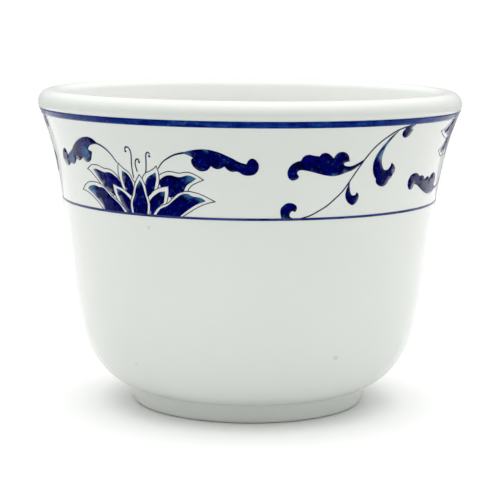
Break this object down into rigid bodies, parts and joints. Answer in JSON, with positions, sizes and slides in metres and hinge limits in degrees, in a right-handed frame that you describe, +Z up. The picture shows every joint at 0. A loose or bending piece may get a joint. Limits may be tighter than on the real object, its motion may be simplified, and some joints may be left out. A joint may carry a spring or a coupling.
{
  "type": "teacup",
  "caption": "Handleless porcelain teacup with a round bead lip, flared wall and foot ring, and a cobalt lotus frieze between a broad band and a thin line.",
  "frame": {"origin": "centre of the foot ring's standing face", "axes": "+Z up the cup's axis of turning; -Y is the front, which the upright lotus and the vine face"},
  "size_m": [0.0762, 0.0762, 0.0568],
  "materials": {
    "fired_clay": "bare fired porcelain, matt and faintly grainy",
    "white_glaze": "clear gloss glaze over white clay, with a faint grey-green cast",
    "cobalt_print": "dark cobalt print under gloss, mottled and paler at the petal tips"
  },
  "bodies": {
    "root": {"porcelain_body": "fired_clay", "glaze_coat": "white_glaze", "base_glaze": "white_glaze", "rim_band": "cobalt_print", "frieze_line": "cobalt_print", "lotus_front": "cobalt_print", "leaves_front": "cobalt_print", "vine_front": "cobalt_print", "lotus_right": "cobalt_print", "leaves_right": "cobalt_print", "vine_right": "cobalt_print", "lotus_back": "cobalt_print", "leaves_back": "cobalt_print", "vine_back": "cobalt_print"}
  },
  "joints": []
}
